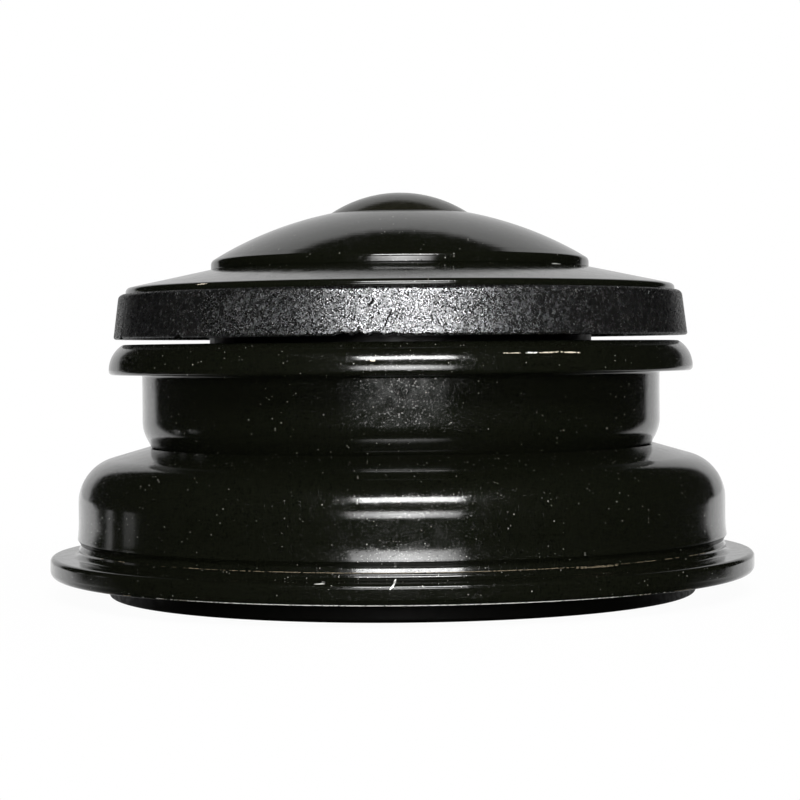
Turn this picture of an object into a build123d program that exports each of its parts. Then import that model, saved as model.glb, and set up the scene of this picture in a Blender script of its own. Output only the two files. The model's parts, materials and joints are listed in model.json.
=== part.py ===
from build123d import *
from math import cos, pi, radians, sqrt, tan
import os

# A semi-integrated threadless headset for a tapered steerer, stood up as one stack on its crown race.
# Millimetres. +Z runs up the steerer, and the origin is in the middle of the crown race's underside.

# Fork that the headset fits
steerer_d = 28.6  # upper steerer
steerer_wall = 1.6
crown_seat_d = 39.8  # lower steerer, just above the fork crown

# Clearances
seat_gap = 0.02  # bores and cones that seat on each other
cover_bore_gap = 0.05  # dust cover round the steerer
cover_gap = 0.45  # running gap between the cover band and the upper cup
nest_gap = 0.05  # upper cup's foot in the lower cup's opening
groove_gap = 0.05  # ball in its raceway
pocket_gap = 0.12  # ball in its cage pocket
seal_lip_gap = 0.1  # bearing seal round the turning race
thread_gap = 0.05
bolt_hole_gap = 0.2
head_gap = 0.35  # bolt head in its counterbore
plug_gap = 0.07

# Angular-contact cartridge bearings, both with the same ball
ball_d = 3.5
ball_spacing = 5.9  # along the pitch circle
upper_race_wall = 0.9625  # steel behind the ball
lower_race_wall = 1.25
race_land = 0.8  # from the pitch circle to a race's high shoulder
ball_lip = 0.1  # height of the low shoulder that holds the ball in
cone_angle = 36  # inner contact cone, from the axis
cone_depth = 1.35  # radial width of that cone
race_seat = 1.3  # radial width of the 45 degree outer seat
race_round = 0.3
cage_wall = 1.0
cage_rim = 0.8  # cage above and below the ball
cage_end_gap = 0.2
seal_t = 0.6
seal_recess = 0.15
seal_step = 0.25  # how far a seal's edge sits in the outer race

# Crown race and its rubber seal
crown_step = 0.1  # from the fork seat out to the bearing's bore
crown_rim_gap = 1.02  # rim inside the lower cup's mouth
crown_rim_h = 2.4
crown_rim_round = 0.3
crown_collar_r = 0.25  # collar's step out beyond the bearing cone
crown_tip_wall = 0.5
crown_seal_space = 0.8  # from the rim's top to the bearing
crown_seal_t = 0.6
crown_seal_lip_gap = 0.3

# Lower cup
lower_wall = 1.48
lower_mouth_depth = 1.5  # bearing's lower face above the flange's underside
lower_flange_reach = 2.4
lower_flange_t = 1.75
lower_flange_top_round = 0.4
lower_flange_under_round = 0.6
lower_foot_round = 0.5
relief_lift = 0.6  # relief groove round the skirt's foot, above the flange
relief_h = 0.8
relief_depth = 0.16
relief_slope = 24  # groove's flanks, from the axis
relief_round = 0.5
lower_shoulder_round = 3.8
crown_slope = 16  # roof of the lower cup, in degrees
crown_rise = 2.35  # opening's edge above the bearing
crown_t = 1.5
opening_round = 0.25

# Upper cup
upper_wall = 1.53
foot_slope = 28  # foot's taper, from the axis
foot_drop = 2.4  # height of the taper
foot_round = 3.0
foot_edge_round = 0.3
nest_depth = 1.05  # how far the foot drops into the lower cup
foot_t = 2.0  # foot below the bearing
upper_mouth_depth = 0.7  # bearing's upper face below the flange's top
upper_flange_reach = 2.8
upper_flange_t = 2.53
upper_flange_under_round = 0.3
upper_neck_round = 0.25
rim_slope_r = 0.65  # flange's rounded top edge, between two arcs
rim_slope_h = 0.95
rim_side_round = 2.2
rim_top_round = 0.85
mouth_round = 0.3
seat_relief = 0.3  # cups stand off the bearings' flat faces

# Compression ring
ring_wall = 0.775  # thin end, between the steerer and the bearing's bore
ring_tail = 3.0  # below the bearing's upper face
ring_proud = 1.4  # above it
ring_width = 1.225  # radial width of its cone
ring_slit = 1.6

# Dust cover and the moulded band under it
band_h = 3.8
band_inset = 0.39  # band's foot inside the upper flange's rim
band_taper = 0.48
band_wall = 1.5
band_web = 1.1
band_top_round = 0.5
band_foot_round = 0.2
hub_wall = 0.6  # cover's hub outside the compression ring
rim_step = 0.62  # cover's rim inside the band's top edge
rim_h = 0.5
rim_round = 0.4
cover_rise = 1.55  # cover's cone above its rim
cover_edge_round = 0.2

# Top cap, its bolt and plug
cap_land = 1.78  # width of the cap's rim on the cover
cap_rim_h = 0.71
cap_rim_round = 0.5
cap_dome_r = 30.5
cap_roof_t = 1.1
cap_pocket_wall = 1.5
cap_seat_lift = 0.4  # bolt's seat above the cap's rim
cap_spigot_drop = 1.9  # spigot below the cap's rim
cap_spigot_wall = 2.15  # spigot round the counterbore
recess_step = 0.65  # plug's recess, wider than the counterbore
recess_depth = 0.45
plug_dome_r = 10.7
bolt_d = 6.0
bolt_l = 20.0
bolt_tip = 0.5
head_d = 10.0
head_h = 3.0
head_round = 0.6
socket_across = 4.0
socket_depth = 2.0

# Star nut
star_bite = 0.1  # prongs' spring into the steerer
star_t = 0.9
star_slope = 22
star_prongs = 8
star_slot_w = 2.2
star_slot_root = 3.2  # slots stop this far out from the barrel
barrel_wall = 1.45
barrel_l = 12.0
barrel_lift = 0.3  # above the bolt's end
barrel_round = 0.4
star_lift = 1.4  # lower star above the barrel's end
star_gap = 6.8  # from star to star

arc_share = 0.99  # most of an edge that the roundings at its ends may take up

# Sizes that follow
ball_r = ball_d / 2
end_space = seal_recess + seal_t + cage_end_gap + cage_rim
bearing_h = ball_d + 2 * end_space
cone_rise = cone_depth / tan(radians(cone_angle))
upper_bore_r = steerer_d / 2 + ring_wall
lower_bore_r = crown_seat_d / 2 + crown_step
upper_race_r = upper_bore_r + ball_d + 2 * upper_race_wall
lower_race_r = lower_bore_r + ball_d + 2 * lower_race_wall

# Heights of the stack, from the crown race up
lower_bearing_z = crown_rim_h + crown_seal_space
lower_bearing_top = lower_bearing_z + bearing_h
lower_flange_z = lower_bearing_z - lower_mouth_depth
opening_z = lower_bearing_top + crown_rise
foot_z = opening_z - nest_depth
upper_bearing_z = foot_z + foot_t
upper_bearing_top = upper_bearing_z + bearing_h
upper_flange_top = upper_bearing_top + upper_mouth_depth
band_z = upper_flange_top + cover_gap
cover_rim_z = band_z + band_h
cap_z = cover_rim_z + rim_h + cover_rise
bolt_seat_z = cap_z + cap_seat_lift
barrel_z = bolt_seat_z - bolt_l + barrel_lift

# Radii that several pieces share
upper_cup_bore_r = upper_race_r + seat_gap
lower_cup_bore_r = lower_race_r + seat_gap
crown_rim_r = lower_cup_bore_r - crown_rim_gap
upper_skirt_r = upper_cup_bore_r + upper_wall
lower_skirt_r = lower_cup_bore_r + lower_wall
upper_flange_r = upper_skirt_r + upper_flange_reach
foot_r = upper_skirt_r - foot_drop * tan(radians(foot_slope))
opening_r = foot_r + nest_depth * tan(radians(foot_slope)) + nest_gap
ring_r = upper_bore_r + ring_width
hub_r = ring_r + hub_wall
band_foot_r = upper_flange_r - band_inset
band_top_r = band_foot_r - band_taper
cover_bore_r = steerer_d / 2 + cover_bore_gap
cap_r = cover_bore_r + cap_land
counterbore_r = head_d / 2 + head_gap
recess_r = counterbore_r + recess_step
plug_r = recess_r - plug_gap
barrel_r = bolt_d / 2 + thread_gap + barrel_wall


def turned(*corners):
    """Ring or disc turned about +Z from corners (radius, height) or (radius, height, rounding)."""
    points = [Vector(*corner[:2]) for corner in corners]
    rounds = [corner[2] if len(corner) > 2 else 0 for corner in corners]
    outline = FilletPolyline(*points, radius=fitted(rounds, points), close=True)
    return revolve(Plane.XZ * make_face(outline), Axis.Z)


def fitted(rounds, points):
    """Roundings of a closed outline's corners, cut down where an edge is too short for its two arcs."""
    count = len(points)
    edges = [points[(i + 1) % count] - points[i] for i in range(count)]
    turns = [edges[i - 1].get_angle(edges[i]) for i in range(count)]
    reach = [rounds[i] * tan(radians(turns[i] / 2)) for i in range(count)]
    taken = [(reach[i] + reach[(i + 1) % count]) / (arc_share * edges[i].length) for i in range(count)]
    return [rounds[i] / max(1, taken[i - 1], taken[i]) for i in range(count)]


def bearing(bore_r, race_wall):
    """Cartridge bearing on z = 0, its inner cone facing up and its outer seat facing down."""
    pitch_r = bore_r + race_wall + ball_r
    outer_r = pitch_r + ball_r + race_wall
    low_inner_r = pitch_r - ball_r + ball_lip
    low_outer_r = pitch_r + ball_r - ball_lip
    high_inner_r = pitch_r - race_land
    high_outer_r = pitch_r + race_land
    middle = bearing_h / 2
    seal_depth = seal_recess + seal_t
    seal_top = bearing_h - seal_depth
    count = int(2 * pi * pitch_r / ball_spacing)
    ball_ring = PolarLocations(pitch_r, count, start_angle=180 / count)
    groove = Pos(0, 0, middle) * Torus(pitch_r, ball_r + groove_gap)

    outer_race = turned(
        (outer_r - race_seat, 0),
        (outer_r, race_seat),
        (outer_r, bearing_h, race_round),
        (low_outer_r + seal_step, bearing_h),
        (low_outer_r + seal_step, seal_top),
        (low_outer_r, seal_top),
        (low_outer_r, middle),
        (high_outer_r, middle),
        (high_outer_r, seal_depth),
        (high_outer_r + seal_step, seal_depth),
        (high_outer_r + seal_step, 0),
    )
    inner_race = turned(
        (bore_r, 0, race_round),
        (low_inner_r, 0),
        (low_inner_r, middle),
        (high_inner_r, middle),
        (high_inner_r, bearing_h),
        (bore_r + cone_depth, bearing_h),
        (bore_r, bearing_h - cone_rise),
    )
    cage_blank = turned(
        (pitch_r - cage_wall / 2, seal_depth + cage_end_gap),
        (pitch_r + cage_wall / 2, seal_depth + cage_end_gap),
        (pitch_r + cage_wall / 2, seal_top - cage_end_gap),
        (pitch_r - cage_wall / 2, seal_top - cage_end_gap),
    )
    balls = [Pos(0, 0, middle) * place * Sphere(ball_r) for place in ball_ring]
    pocket = Rot(0, 90, 0) * Cylinder(ball_r + pocket_gap, 2 * cage_wall)
    pockets = [Pos(0, 0, middle) * place * pocket for place in ball_ring]
    return {
        "outer_race": outer_race - groove,
        "inner_race": inner_race - groove,
        "balls": Compound(balls),
        "cage": cage_blank - pockets,
        "cone_side_seal": bearing_seal(high_inner_r, low_outer_r, seal_top),
        "seat_side_seal": bearing_seal(low_inner_r, high_outer_r, seal_recess),
    }


def bearing_seal(inner_r, outer_r, z):
    """Flat rubber seal pressed into the outer race, with a thin lip round the inner one."""
    lip_r = inner_r + seal_lip_gap
    edge_r = outer_r + seal_step - seat_gap
    return turned(
        (lip_r, z + seal_t / 3),
        (lip_r + seal_t, z),
        (edge_r, z),
        (edge_r, z + seal_t),
        (lip_r + seal_t, z + seal_t),
        (lip_r, z + 2 * seal_t / 3),
    )


def crown_race():
    """Crown race: a rim that the stack stands on, and the cone that carries the lower bearing."""
    steep = tan(radians(cone_angle))
    cone_r = lower_bore_r + cone_depth - seat_gap  # cone at the bearing's lower face
    collar_r = cone_r + crown_collar_r
    tip_r = crown_seat_d / 2 + crown_tip_wall
    return turned(
        (crown_seat_d / 2, 0),
        (crown_rim_r, 0, crown_rim_round),
        (crown_rim_r, crown_rim_h, crown_rim_round),
        (collar_r, crown_rim_h),
        (collar_r, lower_bearing_z - crown_collar_r / steep),
        (tip_r, lower_bearing_z + (cone_r - tip_r) / steep),
        (crown_seat_d / 2, lower_bearing_z + (cone_r - tip_r) / steep),
    )


def crown_seal():
    """Rubber seal on the crown race's rim, its lip close to the lower cup's mouth."""
    inner_r = lower_bore_r + cone_depth + crown_collar_r + seat_gap
    lip_r = lower_cup_bore_r - crown_seal_lip_gap
    top = crown_rim_h + crown_seal_t
    return turned(
        (inner_r, crown_rim_h),
        (crown_rim_r, crown_rim_h),
        (lip_r, top - crown_seal_t / 2),
        (lip_r, top),
        (inner_r, top),
    )


def lower_cup():
    """Lower cup: thin flange, skirt with a relief groove at its foot, and a sloping roof with an opening."""
    fall = tan(radians(crown_slope))
    flange_r = lower_skirt_r + lower_flange_reach
    flange_top = lower_flange_z + lower_flange_t
    relief_z = flange_top + relief_lift
    relief_flank = relief_depth / tan(radians(relief_slope))
    seat_z = lower_bearing_top - race_seat + seat_gap
    seat_end_r = lower_race_r - race_seat + 2 * seat_gap - seat_relief
    return turned(
        (lower_cup_bore_r, lower_flange_z, mouth_round),
        (flange_r, lower_flange_z, lower_flange_under_round),
        (flange_r, flange_top, lower_flange_top_round),
        (lower_skirt_r, flange_top, lower_foot_round),
        (lower_skirt_r, relief_z),
        (lower_skirt_r - relief_depth, relief_z + relief_flank, relief_round),
        (lower_skirt_r - relief_depth, relief_z + relief_h - relief_flank, relief_round),
        (lower_skirt_r, relief_z + relief_h),
        (lower_skirt_r, opening_z - (lower_skirt_r - opening_r) * fall, lower_shoulder_round),
        (opening_r, opening_z, opening_round),
        (opening_r, opening_z - crown_t / cos(radians(crown_slope))),
        (seat_end_r, lower_bearing_top + seat_relief),
        (lower_cup_bore_r, seat_z),
    )


def upper_cup():
    """Upper cup: round-edged flange, skirt pressed in the head tube, and a tapered foot."""
    flange_z = upper_flange_top - upper_flange_t
    seat_z = upper_bearing_z + race_seat - seat_gap
    seat_end_r = upper_race_r - race_seat + 2 * seat_gap - seat_relief
    return turned(
        (seat_end_r, foot_z),
        (foot_r, foot_z, foot_edge_round),
        (upper_skirt_r, foot_z + foot_drop, foot_round),
        (upper_skirt_r, flange_z, upper_neck_round),
        (upper_flange_r, flange_z, upper_flange_under_round),
        (upper_flange_r, upper_flange_top - rim_slope_h, rim_side_round),
        (upper_flange_r - rim_slope_r, upper_flange_top, rim_top_round),
        (upper_cup_bore_r, upper_flange_top, mouth_round),
        (upper_cup_bore_r, seat_z),
        (seat_end_r, upper_bearing_z - seat_relief),
    )


def compression_ring():
    """Split wedge ring between the steerer and the upper bearing's cone."""
    steep = tan(radians(cone_angle))
    tail_r = upper_bore_r - 2 * seat_gap
    cone_z = upper_bearing_top - cone_rise  # where the bearing's cone meets its bore
    top = upper_bearing_top + ring_proud
    ring = turned(
        (steerer_d / 2, upper_bearing_top - ring_tail),
        (tail_r, upper_bearing_top - ring_tail),
        (tail_r, cone_z - seat_gap / steep),
        (ring_r, cone_z + (ring_r - upper_bore_r + seat_gap) / steep),
        (ring_r, top),
        (steerer_d / 2, top),
    )
    section = ring_r - steerer_d / 2
    slit = Box(ring_slit, 2 * section, 2 * (ring_tail + ring_proud))
    return ring - Pos(0, ring_r - section / 2, upper_bearing_top) * slit


def dust_cover():
    """Turned dust cover: a hub that presses on the compression ring, and a low cone with a short rim."""
    rim_r = band_top_r - rim_step
    return turned(
        (cover_bore_r, upper_bearing_top + ring_proud),
        (hub_r, upper_bearing_top + ring_proud),
        (hub_r, cover_rim_z),
        (rim_r, cover_rim_z),
        (rim_r, cover_rim_z + rim_h, rim_round),
        (cap_r, cap_z),
        (cover_bore_r, cap_z, cover_edge_round),
    )


def cover_band():
    """Moulded band that hangs from a web under the dust cover, just clear of the upper cup."""
    inner_r = hub_r + seat_gap
    web_z = cover_rim_z - band_web
    return turned(
        (inner_r, cover_rim_z),
        (inner_r, web_z),
        (band_foot_r - band_wall, web_z),
        (band_foot_r - band_wall, band_z),
        (band_foot_r, band_z, band_foot_round),
        (band_top_r, cover_rim_z, band_top_round),
    )


def cap_dome_z(radius):
    """Height of the top cap's dome at a radius."""
    return cap_z + cap_rim_h - sqrt(cap_dome_r**2 - cap_r**2) + sqrt(cap_dome_r**2 - radius**2)


def top_cap():
    """Domed top cap with a counterbored spigot for its bolt and a recess for the plug."""
    spigot_r = counterbore_r + cap_spigot_wall
    pocket_r = cap_r - cap_pocket_wall
    ledge_z = cap_dome_z(recess_r) - recess_depth
    hole_r = bolt_d / 2 + bolt_hole_gap
    under_side = Polyline(
        (recess_r, cap_dome_z(recess_r)),
        (recess_r, ledge_z),
        (counterbore_r, ledge_z),
        (counterbore_r, bolt_seat_z),
        (hole_r, bolt_seat_z),
        (hole_r, cap_z - cap_spigot_drop),
        (spigot_r, cap_z - cap_spigot_drop),
        (spigot_r, cap_dome_z(spigot_r) - cap_roof_t),
        (pocket_r, cap_dome_z(pocket_r) - cap_roof_t),
        (pocket_r, cap_z),
        (cap_r, cap_z),
        (cap_r, cap_z + cap_rim_h),
    )
    dome = RadiusArc((cap_r, cap_z + cap_rim_h), (recess_r, cap_dome_z(recess_r)), -cap_dome_r)
    cap = revolve(Plane.XZ * make_face(under_side + dome), Axis.Z)
    rim = cap.edges().filter_by(GeomType.CIRCLE).filter_by(lambda edge: abs(edge.radius - cap_r) < seat_gap)
    return fillet(rim.sort_by(Axis.Z)[-1], cap_rim_round)


def cap_plug():
    """Rubber plug over the bolt head: a dome on a short spigot."""
    edge_z = cap_dome_z(recess_r)
    ledge_z = edge_z - recess_depth
    stem_r = counterbore_r - plug_gap
    stem_z = bolt_seat_z + head_h + plug_gap
    apex_z = edge_z + plug_dome_r - sqrt(plug_dome_r**2 - plug_r**2)
    base = Polyline(
        (0, apex_z),
        (0, stem_z),
        (stem_r, stem_z),
        (stem_r, ledge_z),
        (plug_r, ledge_z),
        (plug_r, edge_z),
    )
    dome = RadiusArc((plug_r, edge_z), (0, apex_z), -plug_dome_r)
    return revolve(Plane.XZ * make_face(base + dome), Axis.Z)


def cap_bolt():
    """Low-head socket bolt that hangs in the cap's spigot."""
    shank_end = bolt_seat_z - bolt_l
    head_top = bolt_seat_z + head_h
    bolt = turned(
        (0, shank_end),
        (bolt_d / 2 - bolt_tip, shank_end),
        (bolt_d / 2, shank_end + bolt_tip),
        (bolt_d / 2, bolt_seat_z),
        (head_d / 2, bolt_seat_z),
        (head_d / 2, head_top, head_round),
        (0, head_top),
    )
    hexagon = RegularPolygon(socket_across / 2, 6, major_radius=False)
    return bolt - extrude(Pos(0, 0, head_top) * hexagon, -socket_depth)


def star_nut_barrel():
    """Threaded barrel that carries the two stars."""
    bore_r = bolt_d / 2 + thread_gap
    return turned(
        (bore_r, barrel_z),
        (barrel_r, barrel_z, barrel_round),
        (barrel_r, barrel_z + barrel_l, barrel_round),
        (bore_r, barrel_z + barrel_l),
    )


def star(z):
    """Dished spring star, slotted into prongs that lean up and out to the steerer's wall."""
    hub = barrel_r + seat_gap
    tip_r = steerer_d / 2 - steerer_wall + star_bite
    lean = (tip_r - hub) * tan(radians(star_slope))
    dish = turned((hub, z), (tip_r, z + lean), (tip_r, z + lean + star_t), (hub, z + star_t))
    slot_length = 2 * tip_r
    slot_middle = barrel_r + star_slot_root + slot_length / 2
    slot = extrude(SlotOverall(slot_length, star_slot_w), z + lean + 2 * star_t)
    return dish - [place * slot for place in PolarLocations(slot_middle, star_prongs)]


def pieces():
    """Every piece of the headset by its name, where it stands in the stack."""
    built = {
        "crown_race": crown_race(),
        "crown_seal": crown_seal(),
        "lower_cup": lower_cup(),
        "upper_cup": upper_cup(),
        "compression_ring": compression_ring(),
        "cover_band": cover_band(),
        "dust_cover": dust_cover(),
        "top_cap": top_cap(),
        "cap_plug": cap_plug(),
        "cap_bolt": cap_bolt(),
        "star_nut_barrel": star_nut_barrel(),
        "star_nut_lower_star": star(barrel_z + star_lift),
        "star_nut_upper_star": star(barrel_z + star_lift + star_gap),
    }
    upright = Pos(0, 0, upper_bearing_z)
    turned_over = Pos(0, 0, lower_bearing_top) * Rot(180, 0, 0)
    for name, solid in bearing(upper_bore_r, upper_race_wall).items():
        built["upper_bearing_" + name] = upright * solid
    for name, solid in bearing(lower_bore_r, lower_race_wall).items():
        built["lower_bearing_" + name] = turned_over * solid
    return built


os.makedirs("parts", exist_ok=True)
for name, solid in pieces().items():
    export_step(solid, os.path.join("parts", name + ".step"))
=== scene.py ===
import json
import math

import bmesh
import bpy
from mathutils import Matrix, Vector


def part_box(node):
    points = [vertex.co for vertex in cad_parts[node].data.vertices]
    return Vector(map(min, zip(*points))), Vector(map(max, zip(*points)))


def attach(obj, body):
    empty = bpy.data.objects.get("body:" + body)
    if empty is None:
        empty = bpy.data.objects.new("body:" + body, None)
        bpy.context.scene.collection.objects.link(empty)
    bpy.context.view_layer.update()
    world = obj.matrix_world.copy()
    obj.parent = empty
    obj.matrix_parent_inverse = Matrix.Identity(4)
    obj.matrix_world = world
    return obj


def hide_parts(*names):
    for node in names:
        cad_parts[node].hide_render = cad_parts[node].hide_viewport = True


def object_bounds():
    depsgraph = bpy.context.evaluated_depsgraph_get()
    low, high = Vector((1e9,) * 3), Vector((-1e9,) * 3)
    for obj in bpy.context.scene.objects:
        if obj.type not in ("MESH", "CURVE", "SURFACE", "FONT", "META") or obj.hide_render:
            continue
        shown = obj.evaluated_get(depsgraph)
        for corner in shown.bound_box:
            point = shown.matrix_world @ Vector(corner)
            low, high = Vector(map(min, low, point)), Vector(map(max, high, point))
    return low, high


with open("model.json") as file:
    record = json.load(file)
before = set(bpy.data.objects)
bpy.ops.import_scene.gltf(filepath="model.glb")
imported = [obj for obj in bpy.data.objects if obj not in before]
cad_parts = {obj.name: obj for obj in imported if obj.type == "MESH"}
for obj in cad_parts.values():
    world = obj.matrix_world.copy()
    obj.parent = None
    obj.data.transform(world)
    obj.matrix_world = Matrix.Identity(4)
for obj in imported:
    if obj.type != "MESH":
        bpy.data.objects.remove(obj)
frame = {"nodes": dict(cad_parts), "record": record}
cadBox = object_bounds()
nodes = frame["nodes"]
record = frame["record"]
bodyOf = {node: body for body, names in record["behaviour"]["bodies"].items() for node in names}
slotOf = {part["node"]: part["material_slot"] for part in record["subparts"]}
mm = 0.001
print("frame loaded:", len(nodes), "nodes")


# small helpers for node trees

def feed(tree, socket, value):  # a socket takes a link or a plain value
    if isinstance(value, bpy.types.NodeSocket):
        tree.links.new(value, socket)
    else:
        socket.default_value = value


def addNode(tree, kind, inputs=None, **settings):
    node = tree.nodes.new(kind)
    for name, value in settings.items():
        setattr(node, name, value)
    for key, value in (inputs or {}).items():
        feed(tree, node.inputs[key], value)
    return node


def maths(tree, operation, first, second=0.0):
    return addNode(tree, "ShaderNodeMath", {0: first, 1: second}, operation=operation).outputs[0]


def vectorMaths(tree, operation, first, second=(0, 0, 0)):
    node = addNode(tree, "ShaderNodeVectorMath", {0: first, 1: second}, operation=operation)
    return node.outputs["Value" if operation in ("DOT_PRODUCT", "LENGTH") else "Vector"]


def splitPoint(tree, point):
    return addNode(tree, "ShaderNodeSeparateXYZ", {0: point}).outputs


def ramp(tree, value, low, high, outLow=0.0, outHigh=1.0):  # smooth step between two values
    inputs = {"Value": value, "From Min": low, "From Max": high, "To Min": outLow, "To Max": outHigh}
    return addNode(tree, "ShaderNodeMapRange", inputs, interpolation_type="SMOOTHSTEP").outputs[0]


def noise(tree, point, scale, detail=2.0):
    return addNode(tree, "ShaderNodeTexNoise", {"Vector": point, "Scale": scale, "Detail": detail}).outputs["Fac"]


noiseSpan = (0.3, 0.7)  # nearly all of a noise lies between these
noiseMiddle = 0.5


def blendColours(tree, factor, first, second):
    return addNode(tree, "ShaderNodeMix", {0: factor, 6: first, 7: second}, data_type="RGBA").outputs[2]


def grey(value):
    return (value, value, value, 1)


# shared shader effects

def newGroup(name, kind, inputs, outputs):
    group = bpy.data.node_groups.new(name, kind)
    for label, socketKind, value in inputs:
        socket = group.interface.new_socket(label, in_out="INPUT", socket_type="NodeSocket" + socketKind)
        if value is not None:
            socket.default_value = value
    for label, socketKind in outputs:
        group.interface.new_socket(label, in_out="OUTPUT", socket_type="NodeSocket" + socketKind)
    entry = group.nodes.new("NodeGroupInput")
    leave = group.nodes.new("NodeGroupOutput")
    return group, entry.outputs, leave.inputs


dustForm = {
    "driftScale": 260,
    "driftSpan": (0.35, 0.65),
    "driftShare": (0.35, 1.5),  # times Share, where the dust lies thin and thick
    "leastSize": 0.35,
}


def makeDustGroup(settings):
    # pale specks: a few cells of a fine voronoi grow a small dot, more of them where the dust lies in drifts
    group, given, result = newGroup(
        "dustSpecks", "ShaderNodeTree",
        [("Vector", "Vector", None), ("Cells", "Float", 1600.0), ("Share", "Float", 0.2), ("Size", "Float", 0.2)],
        [("Mask", "Float")])
    point = given["Vector"]
    cells = addNode(group, "ShaderNodeTexVoronoi", {"Vector": point, "Scale": given["Cells"]}).outputs
    pick = addNode(group, "ShaderNodeSeparateColor", {"Color": cells["Color"]}).outputs
    drift = ramp(group, noise(group, point, settings["driftScale"]), *settings["driftSpan"], *settings["driftShare"])
    chosen = maths(group, "LESS_THAN", pick[0], maths(group, "MULTIPLY", given["Share"], drift))
    reach = maths(group, "MULTIPLY", given["Size"], maths(group, "ADD", pick[1], settings["leastSize"]))
    dot = maths(group, "LESS_THAN", cells["Distance"], reach)
    group.links.new(maths(group, "MULTIPLY", chosen, dot), result["Mask"])
    return group


strokeForm = {
    "grainScale": 5000,
    "bite": 4.0,  # how deep the grain eats into the stroke
}


def makeStrokeGroup(settings):
    # one ragged stroke on the front, given by its middle, half length, half width and lean
    group, given, result = newGroup(
        "strokeGroup", "ShaderNodeTree",
        [("Vector", "Vector", None), ("Across", "Float", 0.0), ("Up", "Float", 0.0),
         ("Half Length", "Float", 1 * mm), ("Half Width", "Float", 0.1 * mm),
         ("Lean", "Float", 0.0), ("Ragged", "Float", 0.6)],
        [("Mask", "Float")])
    place = splitPoint(group, given["Vector"])
    across = maths(group, "SUBTRACT", place["X"], given["Across"])
    up = maths(group, "SUBTRACT", place["Z"], given["Up"])
    cosine = maths(group, "COSINE", given["Lean"])
    sine = maths(group, "SINE", given["Lean"])
    along = maths(group, "ADD", maths(group, "MULTIPLY", across, cosine), maths(group, "MULTIPLY", up, sine))
    beside = maths(group, "SUBTRACT", maths(group, "MULTIPLY", up, cosine), maths(group, "MULTIPLY", across, sine))
    far = maths(group, "DIVIDE", along, given["Half Length"])
    wide = maths(group, "DIVIDE", beside, given["Half Width"])
    oval = maths(group, "ADD", maths(group, "MULTIPLY", far, far), maths(group, "MULTIPLY", wide, wide))
    grain = maths(group, "SUBTRACT", noise(group, given["Vector"], settings["grainScale"]), noiseMiddle)
    bitten = maths(group, "MULTIPLY", maths(group, "MULTIPLY", grain, given["Ragged"]), settings["bite"])
    inside = maths(group, "LESS_THAN", maths(group, "ADD", oval, bitten), 1.0)
    front = maths(group, "LESS_THAN", place["Y"], 0.0)
    group.links.new(maths(group, "MULTIPLY", inside, front), result["Mask"])
    return group


def makeFleckGroup():
    # glints: some cells of a fine voronoi are small flat facets, each tipped its own way
    group, given, result = newGroup(
        "flecks", "ShaderNodeTree",
        [("Vector", "Vector", None), ("Cells", "Float", 9000.0), ("Share", "Float", 0.2), ("Slope", "Float", 0.2)],
        [("Mask", "Float"), ("Height", "Float")])
    point = given["Vector"]
    cells = addNode(group, "ShaderNodeTexVoronoi", {"Vector": point, "Scale": given["Cells"]}).outputs
    pick = addNode(group, "ShaderNodeTexWhiteNoise", {"Vector": cells["Position"]}, noise_dimensions="3D").outputs
    mask = maths(group, "LESS_THAN", pick["Value"], given["Share"])
    tip = vectorMaths(group, "SUBTRACT", cells["Color"], (0.5, 0.5, 0.5))  # half a unit at most each way
    lift = vectorMaths(group, "DOT_PRODUCT", vectorMaths(group, "SUBTRACT", point, cells["Position"]), tip)
    steep = maths(group, "MULTIPLY", mask, maths(group, "MULTIPLY", given["Slope"], 2.0))
    group.links.new(mask, result["Mask"])
    group.links.new(maths(group, "MULTIPLY", lift, steep), result["Height"])
    return group


wornForm = {
    "waverScale": 1800,
    "patchScale": 700,
    "patchDetail": 4.0,
}


def makeWornRingGroup(settings):
    # a line of wear that runs round the axis at one height, patchy along its length
    group, given, result = newGroup(
        "wornRing", "ShaderNodeTree",
        [("Vector", "Vector", None), ("Up", "Float", 0.0),
         ("Half Width", "Float", 0.05 * mm), ("Share", "Float", 0.5)],
        [("Mask", "Float")])
    point = given["Vector"]
    swing = maths(group, "SUBTRACT", noise(group, point, settings["waverScale"]), noiseMiddle)
    waver = maths(group, "MULTIPLY", swing, given["Half Width"])
    height = maths(group, "ADD", splitPoint(group, point)["Z"], waver)
    off = maths(group, "ABSOLUTE", maths(group, "SUBTRACT", height, given["Up"]))
    near = maths(group, "LESS_THAN", off, given["Half Width"])
    patches = ramp(group, noise(group, point, settings["patchScale"], settings["patchDetail"]), *noiseSpan)
    worn = maths(group, "LESS_THAN", patches, given["Share"])
    group.links.new(maths(group, "MULTIPLY", near, worn), result["Mask"])
    return group


dustSpecks = makeDustGroup(dustForm)
strokeGroup = makeStrokeGroup(strokeForm)
flecks = makeFleckGroup()
wornRing = makeWornRingGroup(wornForm)
print("shader groups made")


# finishes

def newMaterial(name):
    material = bpy.data.materials.new(name)
    material.use_nodes = True
    tree = material.node_tree
    return material, tree, tree.nodes["Principled BSDF"]


def objectPoint(tree):
    return addNode(tree, "ShaderNodeTexCoord").outputs["Object"]


def setShader(tree, shader, **values):
    names = {"colour": "Base Color", "roughness": "Roughness", "metallic": "Metallic", "ior": "IOR",
             "specular": "Specular IOR Level", "edge": "Specular Tint", "normal": "Normal"}
    for key, value in values.items():
        feed(tree, shader.inputs[names[key]], value)


def bumpFrom(tree, height):  # the height is in metres
    return addNode(tree, "ShaderNodeBump", {"Height": height, "Strength": 1.0, "Distance": 1.0}).outputs["Normal"]


def placeGroup(tree, group, point, values):
    return addNode(tree, "ShaderNodeGroup", {"Vector": point, **values}, node_tree=group).outputs


def useGroup(tree, group, point, values):
    return placeGroup(tree, group, point, values)["Mask"]


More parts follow.
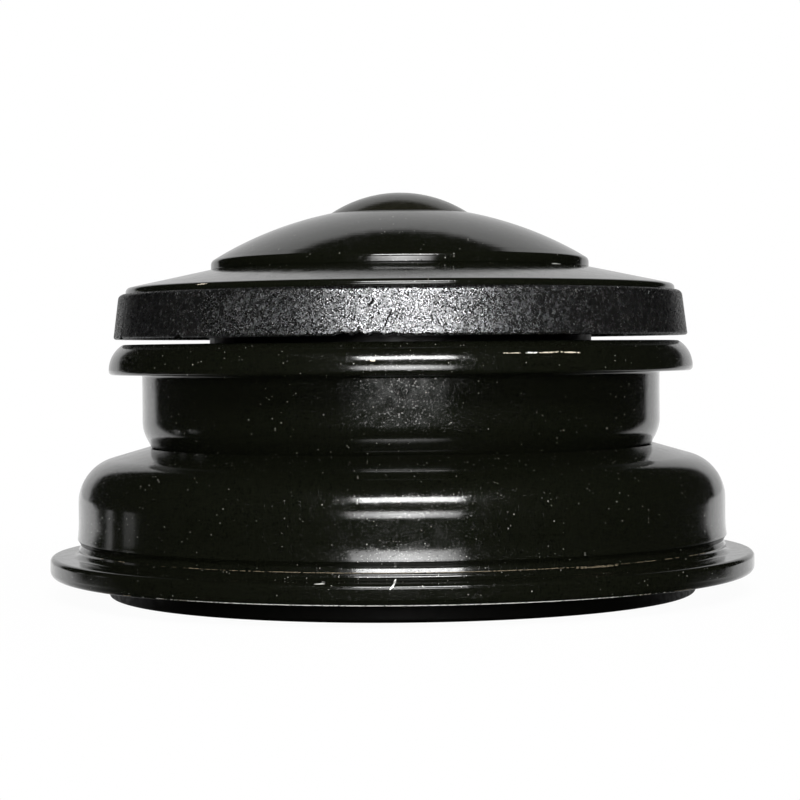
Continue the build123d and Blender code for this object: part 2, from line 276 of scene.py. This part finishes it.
def addStrokes(tree, point, colour, strokes):
    for stroke in strokes:
        mask = useGroup(tree, strokeGroup, point, {
            "Across": stroke["at"][0] * mm, "Up": stroke["at"][1] * mm,
            "Half Length": stroke["half"][0] * mm, "Half Width": stroke["half"][1] * mm,
            "Lean": math.radians(stroke.get("lean", 0)), "Ragged": stroke.get("ragged", 0.6)})
        colour = blendColours(tree, mask, colour, stroke["colour"])
    return colour


def addRings(tree, point, colour, rings):
    for ring in rings:
        mask = useGroup(tree, wornRing, point, {
            "Up": ring["up"] * mm, "Half Width": ring["half"] * mm, "Share": ring["share"]})
        colour = blendColours(tree, mask, colour, ring["colour"])
    return colour


bare = (0.62, 0.55, 0.44, 1)  # primer and metal under the paint
pale = (0.8, 0.79, 0.76, 1)
tan = (0.14, 0.115, 0.08, 1)

cupPaint = {
    "colour": (0.0036, 0.0041, 0.0023, 1),
    "roughness": (0.09, 0.14),
    "ior": 1.5,
    "peelScale": 900,
    "peelDetail": 1.0,
    "peelHeight": 0.005 * mm,
    "flecks": {"Cells": 15000, "Share": 0.12, "Slope": 0.04},
    "fleckColour": (0.07, 0.07, 0.068, 1),
    "dustColour": (0.5, 0.49, 0.45, 1),
    "dustRoughness": 0.6,
    "dustHeight": 0.004 * mm,
    "fineDust": {"Cells": 4200, "Share": 0.16, "Size": 0.11},
    "coarseDust": {"Cells": 1900, "Share": 0.14, "Size": 0.058},
}
coverPaint = {
    **cupPaint,
    "roughness": (0.08, 0.13),
    "flecks": {"Cells": 15000, "Share": 0.03, "Slope": 0.05},
    "fineDust": {"Cells": 4200, "Share": 0.06, "Size": 0.11},
    "coarseDust": {"Cells": 1900, "Share": 0.07, "Size": 0.058},
}
cupWearAndHighlight = {  # wear marks and one painted highlight; places and half sizes in mm, on the front
    "markStrokes": [
        {"at": (8.6, 20.25), "half": (0.75, 0.035), "colour": bare, "ragged": 1.8},
        {"at": (9.9, 20.27), "half": (0.55, 0.055), "colour": pale, "ragged": 1.6},
        {"at": (11.4, 20.28), "half": (0.7, 0.05), "lean": 2, "colour": bare, "ragged": 1.8},
        {"at": (13.0, 20.26), "half": (0.8, 0.045), "lean": -2, "colour": bare, "ragged": 1.8},
        {"at": (-2.1, 19.8), "half": (0.22, 0.1), "colour": bare},
        {"at": (-0.7, 3.33), "half": (0.42, 0.06), "lean": 52, "colour": pale},
        {"at": (-6.1, 3.42), "half": (0.4, 0.025), "lean": 2, "colour": pale},
        {"at": (0.3, 4.03), "half": (14.5, 0.025), "colour": tan, "ragged": 1.6},
        {"at": (14.8, 3.95), "half": (1.5, 0.05), "colour": tan, "ragged": 1.2},
        # painted highlight: a pale line along the front of the flange's lower edge, where its grazing reflection
        # shows
        {"at": (0.0, 1.83), "half": (18.0, 0.035), "colour": pale, "ragged": 0.5},
    ],
    "rings": [
        {"up": 4.04, "half": 0.02, "share": 0.3, "colour": tan},
        {"up": 1.83, "half": 0.02, "share": 0.4, "colour": tan},
    ],
}
coverWear = {
    "markStrokes": [
        {"at": (12.7, 27.46), "half": (0.4, 0.05), "colour": pale},
        {"at": (-15.4, 25.86), "half": (0.5, 0.028), "lean": 4, "colour": bare, "ragged": 2.0},
    ],
    "rings": [],
}


def glossPaintMaterial(name, settings, marks):
    material, tree, shader = newMaterial(name)
    point = objectPoint(tree)
    peel = noise(tree, point, settings["peelScale"], settings["peelDetail"])
    glints = placeGroup(tree, flecks, point, settings["flecks"])
    dust = maths(tree, "MAXIMUM", useGroup(tree, dustSpecks, point, settings["fineDust"]),
                 useGroup(tree, dustSpecks, point, settings["coarseDust"]))
    height = maths(tree, "ADD", maths(tree, "MULTIPLY", peel, settings["peelHeight"]), glints["Height"])
    height = maths(tree, "ADD", height, maths(tree, "MULTIPLY", dust, settings["dustHeight"]))
    gloss = ramp(tree, peel, *noiseSpan, *settings["roughness"])
    colour = blendColours(tree, glints["Mask"], settings["colour"], settings["fleckColour"])
    colour = blendColours(tree, dust, colour, settings["dustColour"])
    colour = addRings(tree, point, colour, marks["rings"])
    # the cup's strokes include a painted highlight along the flange's lower edge; the rest are wear
    setShader(tree, shader,
              colour=addStrokes(tree, point, colour, marks["markStrokes"]),
              roughness=maths(tree, "MAXIMUM", gloss, maths(tree, "MULTIPLY", dust, settings["dustRoughness"])),
              metallic=glints["Mask"],
              ior=settings["ior"],
              normal=bumpFrom(tree, height))
    return material


plainMottle = {
    "scale": 1500,
    "detail": 3.0,
    "darkest": 0.82,  # times the colour
    "roughness": (0.8, 1.2),  # times the roughness
}


def plainMaterial(name, colour, roughness, metallic=0.0, specular=0.5, settings=plainMottle):
    material, tree, shader = newMaterial(name)
    mottle = noise(tree, objectPoint(tree), settings["scale"], settings["detail"])
    shade = ramp(tree, mottle, *noiseSpan)
    dark = tuple(channel * settings["darkest"] for channel in colour[:3]) + (1,)
    low, high = settings["roughness"]
    setShader(tree, shader, metallic=metallic, specular=specular,
              colour=blendColours(tree, shade, dark, colour),
              roughness=ramp(tree, mottle, *noiseSpan, roughness * low, roughness * high))
    return material


grainFinish = {
    "colour": (0.004, 0.004, 0.0038, 1),
    "glintColour": (0.33, 0.335, 0.343, 1),
    "roughness": (0.2, 0.3),
    "mottleScale": 2400,
    "flecks": {"Cells": 19000, "Share": 0.55, "Slope": 0.165},
    "scale": 9000,
    "height": 0.003 * mm,
    "dark": grey(0.004),
}
bandScuffs = [
    {"at": (-2.2, 24.1), "half": (0.5, 0.1), "lean": 60, "colour": grainFinish["dark"], "ragged": 1.0},
    {"at": (-0.95, 22.9), "half": (0.9, 0.07), "lean": 66, "colour": grainFinish["dark"], "ragged": 1.0},
    {"at": (-0.3, 23.0), "half": (0.7, 0.05), "lean": 62, "colour": grainFinish["dark"], "ragged": 1.0},
]


def grainMaterial(settings, strokes):
    material, tree, shader = newMaterial("grainedMoulding")
    point = objectPoint(tree)
    glints = placeGroup(tree, flecks, point, settings["flecks"])
    dust = useGroup(tree, dustSpecks, point, cupPaint["fineDust"])
    grain = maths(tree, "MULTIPLY", noise(tree, point, settings["scale"]), settings["height"])
    colour = blendColours(tree, glints["Mask"], settings["colour"], settings["glintColour"])
    colour = blendColours(tree, dust, colour, cupPaint["dustColour"])
    mottle = noise(tree, point, settings["mottleScale"])
    setShader(tree, shader,
              colour=addStrokes(tree, point, colour, strokes),
              roughness=ramp(tree, mottle, *noiseSpan, *settings["roughness"]),
              metallic=glints["Mask"],
              edge=grey(0.0),  # stays dark towards its ends
              normal=bumpFrom(tree, maths(tree, "ADD", grain, glints["Height"])))
    return material


finishes = {
    "gloss_black_steel": glossPaintMaterial("cupPaint", cupPaint, cupWearAndHighlight),
    "gloss_black_alloy": glossPaintMaterial("coverPaint", coverPaint, coverWear),
    "grained_moulding": grainMaterial(grainFinish, bandScuffs),
    "blackened_steel": plainMaterial("blackenedSteel", (0.0026, 0.0026, 0.002, 1), 0.5, specular=0.05),
    "black_rubber": plainMaterial("blackRubber", (0.01, 0.0098, 0.0062, 1), 0.17, specular=0.3),
    "black_alloy": plainMaterial("blackAlloy", grey(0.012), 0.4),
    "plated_steel": plainMaterial("platedSteel", grey(0.62), 0.25, metallic=1.0),
    "bearing_steel": plainMaterial("bearingSteel", grey(0.66), 0.15, metallic=1.0),
    "cage_nylon": plainMaterial("cageNylon", (0.74, 0.7, 0.58, 1), 0.5),
}
for nodeName, node in nodes.items():
    for slot in node.material_slots:
        slot.material = finishes[slotOf[nodeName]]
print("finishes set")


# turned pieces: an outline of radius and height, swept round the axis

turning = {  # in mm and degrees
    "segments": 240,
    "arcStep": 5,  # between points of a rounding
    "leastSteps": 2,
    "edgeBreak": 0.04,  # rounding of an edge that is left sharp
    "edgeSteps": 4,
    "sharpTurn": 15,  # from where a corner counts as an edge
    "holdGap": 0.08,  # points this close to a rounding keep the flats flat
    "holdFrom": 0.32,  # shorter flats get none
    "weld": 0.001,
}


def cornerArc(before, here, after, rounding, settings):
    into, out = (here - before).normalized(), (after - here).normalized()
    turn = math.atan2(into.x * out.y - into.y * out.x, into.dot(out))
    bend = abs(math.degrees(turn))
    if here.x == 0 or (rounding == 0 and bend < settings["sharpTurn"]):
        return [here]
    steps = settings["edgeSteps"]
    if rounding:
        steps = max(settings["leastSteps"], math.ceil(bend / settings["arcStep"]))
    rounding = rounding or settings["edgeBreak"]
    start = here - into * rounding * math.tan(abs(turn) / 2)
    centre = start + Vector((-into.y, into.x)) * math.copysign(rounding, turn)
    spoke = start - centre
    return [centre + Matrix.Rotation(turn * step / steps, 2) @ spoke for step in range(steps + 1)]


def outlinePoints(corners, settings):  # corners are (radius, height) or (radius, height, rounding) in mm
    places = [Vector(corner[:2]) for corner in corners]
    arcs = []
    for index, corner in enumerate(corners):
        rounding = corner[2] if len(corner) > 2 else 0
        after = places[(index + 1) % len(places)]
        arcs.append(cornerArc(places[index - 1], places[index], after, rounding, settings))
    points = []
    for arc, following in zip(arcs, arcs[1:] + arcs[:1]):
        points += arc
        gap = following[0] - arc[-1]
        onAxis = arc[-1].x == 0 and following[0].x == 0
        if gap.length > settings["holdFrom"] and not onAxis:
            step = gap.normalized() * settings["holdGap"]
            points += [arc[-1] + step, following[0] - step]
    return points


def makeTurningTree(settings):
    tree, given, result = newGroup(
        "turnedRing", "GeometryNodeTree",
        [("Outline", "Geometry", None), ("Segments", "Int", settings["segments"]),
         ("Closed", "Int", 1), ("Finish", "Material", None)],
        [("Geometry", "Geometry")])
    count = addNode(tree, "GeometryNodeAttributeDomainSize", {0: given["Outline"]}).outputs["Point Count"]
    spokes = maths(tree, "ADD", given["Segments"], 1.0)  # the last spoke lies on the first
    grid = addNode(tree, "GeometryNodeMeshGrid", {
        "Vertices X": maths(tree, "ADD", count, given["Closed"]), "Vertices Y": spokes}).outputs["Mesh"]
    index = addNode(tree, "GeometryNodeInputIndex").outputs[0]
    row = maths(tree, "FLOOR", maths(tree, "DIVIDE", maths(tree, "ADD", index, 0.5), spokes))
    spoke = maths(tree, "SUBTRACT", index, maths(tree, "MULTIPLY", row, spokes))
    place = addNode(tree, "GeometryNodeSampleIndex", {
        "Geometry": given["Outline"], "Value": addNode(tree, "GeometryNodeInputPosition").outputs[0],
        "Index": maths(tree, "MODULO", row, count)}, data_type="FLOAT_VECTOR").outputs["Value"]
    outline = splitPoint(tree, place)
    turn = maths(tree, "MULTIPLY", spoke, maths(tree, "DIVIDE", math.tau, given["Segments"]))
    swept = addNode(tree, "ShaderNodeCombineXYZ", {
        "X": maths(tree, "MULTIPLY", outline["X"], maths(tree, "COSINE", turn)),
        "Y": maths(tree, "MULTIPLY", outline["X"], maths(tree, "SINE", turn)),
        "Z": outline["Z"]}).outputs[0]
    shape = addNode(tree, "GeometryNodeSetPosition", {"Geometry": grid, "Position": swept}).outputs[0]
    for kind, inputs in (("MergeByDistance", {"Distance": settings["weld"] * mm}), ("SetShadeSmooth", {}),
                         ("RealizeInstances", {}), ("SetMaterial", {"Material": given["Finish"]})):
        shape = addNode(tree, "GeometryNode" + kind, {"Geometry": shape, **inputs}).outputs[0]
    tree.links.new(shape, result["Geometry"])
    return tree


turnedRing = makeTurningTree(turning)


def runTree(source, tree, values):  # geometry nodes to a plain mesh
    modifier = source.modifiers.new(tree.name, "NODES")
    modifier.node_group = tree
    for item in tree.interface.items_tree:
        if item.in_out == "INPUT" and item.name in values:
            modifier[item.identifier] = values[item.name]
    bpy.context.view_layer.update()
    mesh = bpy.data.meshes.new_from_object(source.evaluated_get(bpy.context.evaluated_depsgraph_get()))
    source.modifiers.remove(modifier)
    return mesh


def addObject(name, mesh):
    piece = bpy.data.objects.new(name, mesh)
    bpy.context.scene.collection.objects.link(piece)
    return piece


def turnPiece(node, corners, closed=True, segments=turning["segments"]):
    points = outlinePoints(corners, turning)
    outline = bpy.data.meshes.new(node + "_outline")
    edges = [(i, i + 1) for i in range(len(points) - 1)]
    outline.from_pydata([(p.x * mm, 0, p.y * mm) for p in points], edges, [])
    drawn = addObject(node + "_outline", outline)
    mesh = runTree(drawn, turnedRing, {
        "Segments": segments, "Closed": int(closed), "Finish": finishes[slotOf[node]]})
    bpy.data.objects.remove(drawn)
    mesh.name = "turned_" + node
    shell = bmesh.new()
    shell.from_mesh(mesh)
    bmesh.ops.recalc_face_normals(shell, faces=shell.faces)
    shell.to_mesh(mesh)
    shell.free()
    return addObject("turned_" + node, mesh)


def standFor(piece, node):
    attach(piece, bodyOf[node])
    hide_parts(node)
    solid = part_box(node)
    corners = [vertex.co for vertex in piece.data.vertices]
    low = [min(c[i] for c in corners) for i in range(3)]
    high = [max(c[i] for c in corners) for i in range(3)]
    off = max(abs(a - b) for a, b in zip(low + high, list(solid[0]) + list(solid[1])))
    print(piece.name, len(piece.data.polygons), "faces,", round(off / mm, 3), "mm from its solid's box")


def radiusOf(node):
    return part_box(node)[1][0] / mm


def bottomOf(node):
    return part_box(node)[0][2] / mm


def topOf(node):
    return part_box(node)[1][2] / mm


lowerCup = {
    "boreRadius": 26.02,
    "boreRound": 0.3,
    "skirtRadius": 27.5,
    "flangeThick": 1.75,
    "underRound": 0.6,
    "edgeRound": 0.4,
    "footRound": 0.5,
    "reliefLift": 0.6,  # groove round the skirt's foot, above the flange
    "reliefHeight": 0.8,
    "reliefDepth": 0.16,
    "reliefSlope": 24,
    "reliefRound": 0.5,
    "flareHeight": 1.6,  # the skirt leans out a touch towards the groove
    "flareReach": 0.105,
    "flareSteps": 8,
    "shoulderRound": 3.8,
    "openingRadius": 21.382,
    "openingHeight": 12.55,
    "openingRound": 0.25,
    "roofSlope": 16,
    "roofThick": 1.5,
    "seatRadius": 24.44,
    "seatHeights": (8.92, 10.5),
}


def addLowerCup(s):
    bottom, flange = bottomOf("lower_cup"), radiusOf("lower_cup")
    top = bottom + s["flangeThick"]
    skirt, groove = s["skirtRadius"], s["skirtRadius"] - s["reliefDepth"]
    foot = top + s["reliefLift"]
    head = foot + s["reliefHeight"]
    flank = s["reliefDepth"] / math.tan(math.radians(s["reliefSlope"]))
    slope = math.radians(s["roofSlope"])
    eaves = s["openingHeight"] - (skirt - s["openingRadius"]) * math.tan(slope)
    under = s["openingHeight"] - s["roofThick"] / math.cos(slope)
    shares = [step / s["flareSteps"] for step in reversed(range(s["flareSteps"]))]
    flare = [(skirt + s["flareReach"] * share ** 2, head + s["flareHeight"] * (1 - share)) for share in shares]
    piece = turnPiece("lower_cup", [
        (s["boreRadius"], bottom, s["boreRound"]),
        (flange, bottom, s["underRound"]),
        (flange, top, s["edgeRound"]),
        (skirt, top, s["footRound"]),
        (skirt, foot),
        (groove, foot + flank, s["reliefRound"]),
        (groove, head - flank, s["reliefRound"]),
        (skirt + s["flareReach"], head),
        *flare,
        (skirt, eaves, s["shoulderRound"]),
        (s["openingRadius"], s["openingHeight"], s["openingRound"]),
        (s["openingRadius"], under),
        (s["seatRadius"], s["seatHeights"][1]),
        (s["boreRadius"], s["seatHeights"][0]),
    ])
    standFor(piece, "lower_cup")


upperCup = {
    "footRadius": 20.774,
    "footRound": 0.3,
    "footHeight": 2.4,
    "skirtRadius": 22.05,
    "skirtRound": 3.0,
    "neckRound": 0.25,
    "flangeThick": 2.53,
    "underRound": 0.3,
    "rimLift": 0.4,  # where the rim's arc starts, above the underside
    "rimArc": 2.5,
    "rimSteps": 14,
    "rimRound": 0.4,
    "boreRadius": 20.52,
    "mouthRound": 0.3,
    "seatRadius": 18.94,
    "seatHeights": (13.2, 14.78),
}


def addUpperCup(s):
    bottom, top, flange = bottomOf("upper_cup"), topOf("upper_cup"), radiusOf("upper_cup")
    under = top - s["flangeThick"]
    arcLow = under + s["rimLift"]
    arcTurn = math.asin((top - arcLow) / s["rimArc"])

    def rimRadius(turn):
        return flange - s["rimArc"] * (1 - math.cos(turn))

    turns = [arcTurn * step / s["rimSteps"] for step in range(s["rimSteps"])]
    piece = turnPiece("upper_cup", [
        (s["seatRadius"], bottom),
        (s["footRadius"], bottom, s["footRound"]),
        (s["skirtRadius"], bottom + s["footHeight"], s["skirtRound"]),
        (s["skirtRadius"], under, s["neckRound"]),
        (flange, under, s["underRound"]),
        *[(rimRadius(turn), arcLow + s["rimArc"] * math.sin(turn)) for turn in turns],
        (rimRadius(arcTurn), top, s["rimRound"]),
        (s["boreRadius"], top, s["mouthRound"]),
        (s["boreRadius"], s["seatHeights"][1]),
        (s["seatRadius"], s["seatHeights"][0]),
    ])
    standFor(piece, "upper_cup")


crownRace = {
    "boreRadius": 19.9,
    "rimHeight": 2.4,
    "rimRound": 0.3,
    "collarRadius": 21.58,
    "collarHeight": 2.856,
    "tipRadius": 20.4,
}


def addCrownRace(s):
    bottom, top, rim = bottomOf("crown_race"), topOf("crown_race"), radiusOf("crown_race")
    piece = turnPiece("crown_race", [
        (s["boreRadius"], bottom),
        (rim, bottom, s["rimRound"]),
        (rim, s["rimHeight"], s["rimRound"]),
        (s["collarRadius"], s["rimHeight"]),
        (s["collarRadius"], s["collarHeight"]),
        (s["tipRadius"], top),
        (s["boreRadius"], top),
    ])
    standFor(piece, "crown_race")


dustCover = {
    "boreRadius": 14.35,
    "hubRadius": 16.9,
    "rimRadius": 23.36,
    "rimRound": 0.4,
    "rimHeights": (25.45, 25.95),
    "coneRadius": 16.13,
    "edgeRound": 0.2,
}


def addDustCover(s):
    bottom, top = bottomOf("dust_cover"), topOf("dust_cover")
    piece = turnPiece("dust_cover", [
        (s["boreRadius"], bottom),
        (s["hubRadius"], bottom),
        (s["hubRadius"], s["rimHeights"][0]),
        (s["rimRadius"], s["rimHeights"][0]),
        (s["rimRadius"], s["rimHeights"][1], s["rimRound"]),
        (s["coneRadius"], top),
        (s["boreRadius"], top, s["edgeRound"]),
    ])
    standFor(piece, "dust_cover")


coverBand = {
    "segments": 900,  # fine enough for the nicks
    "boreRadius": 16.92,
    "wall": 1.5,
    "web": 1.1,
    "taper": 0.48,
    "footRound": 0.2,
    "topRound": 0.5,
    "nickReach": 0.7,  # how far up from the foot a nick is felt
    "nicks": [  # degrees from the front, half width in degrees and depth
        (-10.5, 1.6, 0.22), (-7.6, 1.1, 0.29), (-4.4, 1.3, 0.26), (-1.2, 0.8, 0.17),
        (-45.8, 1.0, 0.29), (-71.0, 1.8, 0.33), (31.0, 0.7, 0.13), (118.0, 1.2, 0.22), (204.0, 1.0, 0.2),
    ],
}


def nickFoot(mesh, s, bottom):  # knocks in the band's lower edge
    for vertex in mesh.vertices:
        share = 1 - (vertex.co.z / mm - bottom) / s["nickReach"]
        if share <= 0:
            continue
        bearing = math.degrees(math.atan2(vertex.co.x, -vertex.co.y))
        for middle, halfWidth, depth in s["nicks"]:
            away = abs((bearing - middle + 180) % 360 - 180) / halfWidth
            if away < 1:
                vertex.co.z += depth * mm * share * (1 - away * away)


def addCoverBand(s):
    bottom, top, foot = bottomOf("cover_band"), topOf("cover_band"), radiusOf("cover_band")
    web = top - s["web"]
    piece = turnPiece("cover_band", [
        (s["boreRadius"], top),
        (s["boreRadius"], web),
        (foot - s["wall"], web),
        (foot - s["wall"], bottom),
        (foot, bottom, s["footRound"]),
        (foot - s["taper"], top, s["topRound"]),
    ], segments=s["segments"])
    nickFoot(piece.data, s, bottom)
    standFor(piece, "cover_band")


topCap = {
    "rimHeights": (27.5, 28.21),
    "rimRound": 0.5,
    "domeRadius": 30.5,
    "domeSteps": 24,
    "roofThick": 1.1,
    "pocketWall": 1.5,
    "recess": (6.0, 0.45),  # radius and depth
    "counterbore": (5.35, 27.9),  # radius and height of its floor
    "holeRadius": 3.2,
    "spigotRadius": 7.5,
}
capPlug = {
    "radius": 5.93,
    "stemRadius": 5.28,
    "domeSteps": 18,
}


def domeHeight(s, rim, radius):
    centre = s["rimHeights"][1] - math.sqrt(s["domeRadius"] ** 2 - rim ** 2)
    return centre + math.sqrt(s["domeRadius"] ** 2 - radius ** 2)


def addTopCap(s):
    bottom, rim = bottomOf("top_cap"), radiusOf("top_cap")
    pocket = rim - s["pocketWall"]
    recess, depth = s["recess"]
    bore, floor = s["counterbore"]
    edge = domeHeight(s, rim, recess)
    shoulder = rim - s["rimRound"]
    radii = [shoulder + (recess - shoulder) * step / s["domeSteps"] for step in range(1, s["domeSteps"])]
    piece = turnPiece("top_cap", [
        (recess, edge - depth),
        (bore, edge - depth),
        (bore, floor),
        (s["holeRadius"], floor),
        (s["holeRadius"], bottom),
        (s["spigotRadius"], bottom),
        (s["spigotRadius"], domeHeight(s, rim, s["spigotRadius"]) - s["roofThick"]),
        (pocket, domeHeight(s, rim, pocket) - s["roofThick"]),
        (pocket, s["rimHeights"][0]),
        (rim, s["rimHeights"][0]),
        (rim, s["rimHeights"][1], s["rimRound"]),
        *[(radius, domeHeight(s, rim, radius)) for radius in radii],
        (recess, edge),
    ])
    standFor(piece, "top_cap")


def addCapPlug(s, cap):
    bottom, top = bottomOf("cap_plug"), topOf("cap_plug")
    recess, depth = cap["recess"]
    edge = domeHeight(cap, radiusOf("top_cap"), recess)
    rise = top - edge
    dome = (s["radius"] ** 2 + rise ** 2) / (2 * rise)
    radii = [s["radius"] * (1 - step / s["domeSteps"]) for step in range(1, s["domeSteps"])]
    piece = turnPiece("cap_plug", [
        (0, bottom),
        (s["stemRadius"], bottom),
        (s["stemRadius"], edge - depth),
        (s["radius"], edge - depth),
        (s["radius"], edge),
        *[(radius, top - dome + math.sqrt(dome ** 2 - radius ** 2)) for radius in radii],
        (0, top),
    ], closed=False)
    standFor(piece, "cap_plug")


addCrownRace(crownRace)
addLowerCup(lowerCup)
addUpperCup(upperCup)
addCoverBand(coverBand)
addDustCover(dustCover)
addTopCap(topCap)
addCapPlug(capPlug, topCap)
print("turned pieces made")


# camera

view = {
    "distance": 200 * mm,
    "height": 20.4 * mm,
    "picture": 800,  # pixels
    "focal": 2332.0,  # pixels
    "horizon": 352.0,  # pixel row at the camera's height
    "axis": 401.0,  # pixel column of the object's axis
    "roll": -0.009,
    "sensor": 36,
    "clip": 1 * mm,
}


def addCamera(settings):
    camera = bpy.data.cameras.new("camera")
    camera.sensor_width = settings["sensor"]
    camera.lens = settings["focal"] / settings["picture"] * camera.sensor_width
    camera.clip_start = settings["clip"]
    middle = settings["picture"] / 2
    pitch = math.atan((middle - settings["horizon"]) / settings["focal"])
    yaw = math.atan((settings["axis"] - middle) / settings["focal"])
    turn = (Matrix.Rotation(yaw, 4, "Z") @ Matrix.Rotation(math.pi / 2 - pitch, 4, "X")
            @ Matrix.Rotation(settings["roll"], 4, "Z"))
    holder = addObject("camera", camera)
    holder.matrix_world = Matrix.Translation((0, -settings["distance"], settings["height"])) @ turn
    bpy.context.scene.camera = holder


addCamera(view)
print("camera set")


# white studio: pale floor, white wall behind, dark room on the camera's side

studio = {
    "wallHalfAngle": 37,  # degrees, seen from the object
    "wallHighHalf": 27,  # the wall narrows to this higher up
    "wallNarrowBy": 20,  # degrees of height where it has done so
    "wallTop": 45,
    "wallEdge": 3,  # half of the soft edge, in degrees
    "wallWhite": 0.72,  # how bright the wall shows in the gloss
    "dark": 0.004,
    "fill": 0.45,  # even light on matt surfaces
    "floorSize": 6.0,
    "floorGap": 0.01 * mm,
    "floorColour": grey(0.86),
    "floorRoughness": 0.8,
    "floorWhite": 0.965,  # share of plain white that the camera sees under the object
    "shadowReach": (0.04, 0.085),  # the shadow fades out between these distances
    "besideReach": (0.038, 0.05),  # mirrored floor: white beside the object, dark beyond
    "besideFrom": (-0.02, -0.002),
    "wedgeHalfAngle": 42,  # the wall's white goes on over the floor as a wedge
    "wallApex": 0.051,  # its edges meet this far in front of the axis
}


def cosOf(degrees):
    return math.cos(math.radians(degrees))


def sinOf(degrees):
    return math.sin(math.radians(degrees))


def wallMask(tree, back, half, edge):  # back is the cosine of the angle from straight behind
    return ramp(tree, back, cosOf(half + edge), cosOf(half - edge))


def whiteOrMirrored(tree, rays, mirrored):  # white to the camera, the mirrored room to the gloss
    return maths(tree, "MAXIMUM", rays["Is Camera Ray"], maths(tree, "MULTIPLY", rays["Is Glossy Ray"], mirrored))


def makeWorld(settings):
    world = bpy.data.worlds.new("studio")
    world.use_nodes = True
    bpy.context.scene.world = world
    tree = world.node_tree
    tree.nodes.clear()
    rays = addNode(tree, "ShaderNodeLightPath").outputs
    way = splitPoint(tree, addNode(tree, "ShaderNodeTexCoord").outputs["Generated"])
    level = maths(tree, "SQRT", maths(tree, "ADD", maths(tree, "MULTIPLY", way["X"], way["X"]),
                                      maths(tree, "MULTIPLY", way["Y"], way["Y"])))
    back = maths(tree, "DIVIDE", way["Y"], level)
    half, edge, top = settings["wallHalfAngle"], settings["wallEdge"], settings["wallTop"]
    narrowing = cosOf(settings["wallHighHalf"]) - cosOf(half)
    narrow = ramp(tree, way["Z"], 0.0, sinOf(settings["wallNarrowBy"]), 0.0, narrowing)
    wall = wallMask(tree, maths(tree, "SUBTRACT", back, narrow), half, edge)
    below = ramp(tree, way["Z"], sinOf(top + edge), sinOf(top - edge))
    mirrored = ramp(tree, maths(tree, "MULTIPLY", wall, below), 0.0, 1.0, settings["dark"], settings["wallWhite"])
    plain = maths(tree, "MULTIPLY", rays["Is Diffuse Ray"], settings["fill"])
    strength = maths(tree, "ADD", whiteOrMirrored(tree, rays, mirrored), plain)
    light = addNode(tree, "ShaderNodeBackground", {"Color": grey(1.0), "Strength": strength})
    addNode(tree, "ShaderNodeOutputWorld", {"Surface": light.outputs[0]})


def addFloor(settings):
    half, low = settings["floorSize"] / 2, -settings["floorGap"]
    mesh = bpy.data.meshes.new("floor")
    corners = [(-half, -half, low), (half, -half, low), (half, half, low), (-half, half, low)]
    mesh.from_pydata(corners, [], [(0, 1, 2, 3)])
    floor = addObject("floor", mesh)
    material, tree, shader = newMaterial("floor")
    setShader(tree, shader, colour=settings["floorColour"], roughness=settings["floorRoughness"])
    rays = addNode(tree, "ShaderNodeLightPath").outputs
    point = objectPoint(tree)
    along = splitPoint(tree, point)["Y"]
    away = vectorMaths(tree, "LENGTH", point)
    white = ramp(tree, away, *settings["shadowReach"], settings["floorWhite"], 1.0)
    rear = ramp(tree, along, *settings["besideFrom"], settings["dark"], 1.0)
    beside = ramp(tree, away, *settings["besideReach"], 1.0, settings["dark"])
    apex = settings["wallApex"]
    reach = vectorMaths(tree, "LENGTH", vectorMaths(tree, "ADD", point, (0, apex, 0)))
    back = maths(tree, "DIVIDE", maths(tree, "ADD", along, apex), reach)
    behind = wallMask(tree, back, settings["wedgeHalfAngle"], settings["wallEdge"])
    mirrored = maths(tree, "MULTIPLY", rear, maths(tree, "MAXIMUM", beside, behind))
    strength = whiteOrMirrored(tree, rays, mirrored)
    glow = addNode(tree, "ShaderNodeEmission", {"Color": grey(1.0), "Strength": strength}).outputs[0]
    share = maths(tree, "MAXIMUM", maths(tree, "MULTIPLY", rays["Is Camera Ray"], white), rays["Is Glossy Ray"])
    above = addNode(tree, "ShaderNodeMixShader", {0: share, 1: shader.outputs[0], 2: glow}).outputs[0]
    clear = addNode(tree, "ShaderNodeBsdfTransparent").outputs[0]
    under = addNode(tree, "ShaderNodeNewGeometry").outputs["Backfacing"]  # nothing hides the object from below
    sides = addNode(tree, "ShaderNodeMixShader", {0: under, 1: above, 2: clear}).outputs[0]
    tree.links.new(sides, tree.nodes["Material Output"].inputs["Surface"])
    mesh.materials.append(material)


lamps = {
    "softBox": {"place": (0.02, -0.45, 0.41), "size": (0.33, 0.12), "power": 3.3},
    "flash": {"place": (0.01, -0.6, 0.1), "size": (0.4, 0.14), "power": 0.18, "spread": 50},
    "lowStrip": {"place": (0.012, -0.6, 0.1), "size": (0.44, 0.04), "power": 0.03, "spread": 70},
    "windowNear": {"place": (-0.0653, 0.0124, 0.003), "size": (0.0047, 0.007), "power": 0.00006},
    "windowFar": {"place": (-0.0687, -0.0009, 0.003), "size": (0.0071, 0.007), "power": 0.00007},
}


def addLamp(name, settings):
    lamp = bpy.data.lights.new(name, "AREA")
    lamp.shape = "RECTANGLE"
    lamp.size, lamp.size_y = settings["size"]
    lamp.energy = settings["power"]
    lamp.spread = math.radians(settings.get("spread", 180))
    holder = addObject(name, lamp)
    place = Vector(settings["place"])
    aim = Vector((0, 0, cadBox[1][2] / 2)) - place  # at the object's middle
    holder.matrix_world = Matrix.Translation(place) @ aim.to_track_quat("-Z", "Y").to_matrix().to_4x4()


makeWorld(studio)
addFloor(studio)
for lampName, lampSettings in lamps.items():
    addLamp(lampName, lampSettings)
bpy.context.scene.view_settings.view_transform = "Standard"
print("studio set")
